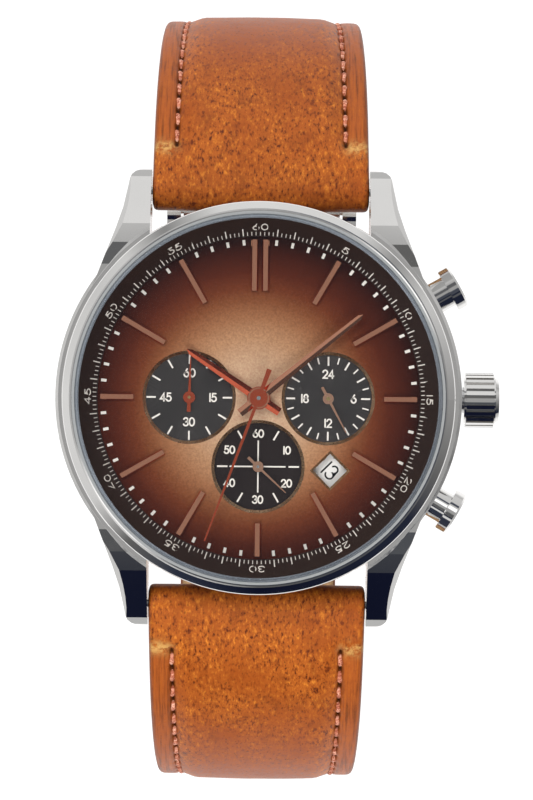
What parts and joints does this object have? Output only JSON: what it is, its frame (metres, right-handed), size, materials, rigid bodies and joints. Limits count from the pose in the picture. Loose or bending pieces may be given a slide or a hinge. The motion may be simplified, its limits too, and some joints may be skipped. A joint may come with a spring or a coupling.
{
  "type": "chronograph wristwatch",
  "caption": "Round steel chronograph wristwatch with a brown sunburst dial, recessed sub-dials, fluted crown, push buttons and a padded tan leather strap with a pin buckle.",
  "frame": {"origin": "centre of the case back's outer face, on the axis of the hands", "axes": "+Z out of the dial, +Y to 12 o'clock, +X to the crown"},
  "size_m": [0.0442, 0.0822, 0.0631],
  "materials": {
    "polished_steel": "polished",
    "brushed_steel": "brushed",
    "sapphire": "clear",
    "gasket": "matt",
    "rehaut_dark": "matt",
    "dial_brown": "sunburst satin",
    "subdial_dark": "fine circular grain",
    "copper_hands": "polished copper plate",
    "gilt": "polished",
    "brass": "fine brushed",
    "nickel": "nickel plated",
    "white_plastic": "matt",
    "circuit": "satin",
    "coil_wire": "enamelled copper",
    "cognac_leather": "waxed grain",
    "lining_leather": "matt"
  },
  "bodies": {
    "case": {"case_middle": "polished_steel", "bezel": "polished_steel", "crystal": "sapphire", "crystal_gasket": "gasket", "rehaut": "rehaut_dark", "case_back": "brushed_steel", "case_back_gasket": "gasket", "movement_holder": "white_plastic", "dial": "dial_brown", "hour_markers": "copper_hands", "minute_counter_plate": "subdial_dark", "day_night_plate": "subdial_dark", "small_seconds_plate": "subdial_dark", "main_plate": "nickel", "train_bridge": "nickel", "circuit_board": "circuit", "motor_coils": "coil_wire", "motor_stators": "brushed_steel", "battery": "brushed_steel", "battery_clamp": "brushed_steel", "bridge_screws": "brushed_steel", "crown_tube": "polished_steel", "pusher_tubes": "polished_steel", "lug_spring_bars": "brushed_steel", "start_pusher_spring": "brushed_steel", "reset_pusher_spring": "brushed_steel"},
    "minute": {"minute_hand": "copper_hands", "cannon_pinion": "brushed_steel", "centre_wheel": "brass"},
    "hour": {"hour_hand": "copper_hands", "hour_wheel": "brass"},
    "minute_work": {"minute_wheel": "brass"},
    "third": {"third_wheel": "brass"},
    "seconds": {"small_seconds_hand": "gilt", "seconds_pinion": "brushed_steel"},
    "idler": {"day_night_idler": "brass"},
    "day_night": {"day_night_hand": "gilt", "day_night_wheel": "brass"},
    "date": {"date_disc": "white_plastic"},
    "chrono": {"chrono_seconds_hand": "copper_hands", "chrono_arbor": "brushed_steel"},
    "counter_train": {"counter_intermediate": "brass"},
    "counter": {"chrono_minutes_hand": "copper_hands", "counter_wheel": "brass"},
    "setting": {"setting_lever": "brushed_steel"},
    "crown": {"crown": "polished_steel", "winding_stem": "brushed_steel"},
    "start": {"start_pusher": "polished_steel"},
    "reset": {"reset_pusher": "polished_steel"},
    "strap_12": {"strap_12_leather": "cognac_leather", "strap_12_lining": "lining_leather", "fixed_keeper": "cognac_leather", "buckle_spring_bar": "brushed_steel"},
    "keeper": {"free_keeper": "cognac_leather"},
    "buckle": {"buckle_frame": "polished_steel"},
    "tongue": {"buckle_tongue": "polished_steel"},
    "strap_6": {"strap_6_leather": "cognac_leather", "strap_6_lining": "lining_leather"}
  },
  "joints": [
    {"name": "minute_turn", "type": "hinge", "parent": "case", "child": "minute", "pos_m": [0, 0, 0.005], "axis": [0, 0, -1], "continuous": true},
    {"name": "hour_turn", "type": "hinge", "parent": "case", "child": "hour", "pos_m": [0, 0, 0.005], "axis": [0, 0, -1], "continuous": true},
    {"name": "minute_wheel_turn", "type": "hinge", "parent": "case", "child": "minute_work", "pos_m": [-0.00231, 0.00276, 0.005], "axis": [0, 0, -1], "continuous": true},
    {"name": "third_wheel_turn", "type": "hinge", "parent": "case", "child": "third", "pos_m": [0.00072, -0.00353, 0.005], "axis": [0, 0, -1], "continuous": true},
    {"name": "small_seconds_turn", "type": "hinge", "parent": "case", "child": "seconds", "pos_m": [0, -0.00685, 0.005], "axis": [0, 0, -1], "continuous": true},
    {"name": "day_night_idler_turn", "type": "hinge", "parent": "case", "child": "idler", "pos_m": [0.00269, 0.00094, 0.005], "axis": [0, 0, -1], "continuous": true},
    {"name": "day_night_turn", "type": "hinge", "parent": "case", "child": "day_night", "pos_m": [0.00694, 0, 0.005], "axis": [0, 0, -1], "continuous": true},
    {"name": "date_turn", "type": "hinge", "parent": "case", "child": "date", "pos_m": [0, 0, 0.005], "axis": [0, 0, -1], "continuous": true},
    {"name": "chrono_seconds_turn", "type": "hinge", "parent": "case", "child": "chrono", "pos_m": [0, 0, 0.005], "axis": [0, 0, -1], "continuous": true},
    {"name": "counter_wheel_turn", "type": "hinge", "parent": "case", "child": "counter_train", "pos_m": [-0.00354, 0.00119, 0.005], "axis": [0, 0, -1], "continuous": true},
    {"name": "chrono_minutes_turn", "type": "hinge", "parent": "case", "child": "counter", "pos_m": [-0.00694, 0, 0.005], "axis": [0, 0, -1], "continuous": true},
    {"name": "crown_pull", "type": "slide", "parent": "case", "child": "setting", "axis": [1, 0, 0], "range_m": [0, 0.0015]},
    {"name": "crown_turn", "type": "hinge", "parent": "setting", "child": "crown", "pos_m": [0.021, 0, 0.0042], "axis": [1, 0, 0], "continuous": true},
    {"name": "start_press", "type": "slide", "parent": "case", "child": "start", "axis": [-0.866, -0.5, 0], "range_m": [0, 0.0008], "stiffness_N_per_m": 2500, "springref_m": -0.0004, "deforming": ["start_pusher_spring"]},
    {"name": "reset_press", "type": "slide", "parent": "case", "child": "reset", "axis": [-0.866, 0.5, 0], "range_m": [0, 0.0008], "stiffness_N_per_m": 2500, "springref_m": -0.0004, "deforming": ["reset_pusher_spring"]},
    {"name": "strap_12_swing", "type": "hinge", "parent": "case", "child": "strap_12", "pos_m": [0, 0.0208, 0.0032], "axis": [1, 0, 0], "range_deg": [-2, 70]},
    {"name": "keeper_slide", "type": "slide", "parent": "strap_12", "child": "keeper", "axis": [0, 0.1736, 0.9848], "range_m": [0, 0.009]},
    {"name": "buckle_swing", "type": "hinge", "parent": "strap_12", "child": "buckle", "pos_m": [0, 0.0218, -0.04875], "axis": [-1, 0, 0], "range_deg": [-45, 60]},
    {"name": "tongue_swing", "type": "hinge", "parent": "buckle", "child": "tongue", "pos_m": [0, 0.0218, -0.04875], "axis": [-1, 0, 0], "range_deg": [0, 60]},
    {"name": "strap_6_swing", "type": "hinge", "parent": "case", "child": "strap_6", "pos_m": [0, -0.0208, 0.0032], "axis": [-1, 0, 0], "range_deg": [-2, 70]}
  ],
  "couplings": [
    {"joint": "hour_turn", "follows": "minute_turn", "ratio": 0.083333},
    {"joint": "minute_wheel_turn", "follows": "minute_turn", "ratio": -0.33333},
    {"joint": "third_wheel_turn", "follows": "minute_turn", "ratio": -8},
    {"joint": "small_seconds_turn", "follows": "minute_turn", "ratio": 60},
    {"joint": "day_night_idler_turn", "follows": "minute_turn", "ratio": -0.092593},
    {"joint": "day_night_turn", "follows": "minute_turn", "ratio": 0.041667},
    {"joint": "date_turn", "follows": "minute_turn", "ratio": 0.0013441},
    {"joint": "counter_wheel_turn", "follows": "chrono_seconds_turn", "ratio": -0.13333},
    {"joint": "chrono_minutes_turn", "follows": "chrono_seconds_turn", "ratio": 0.016667}
  ]
}
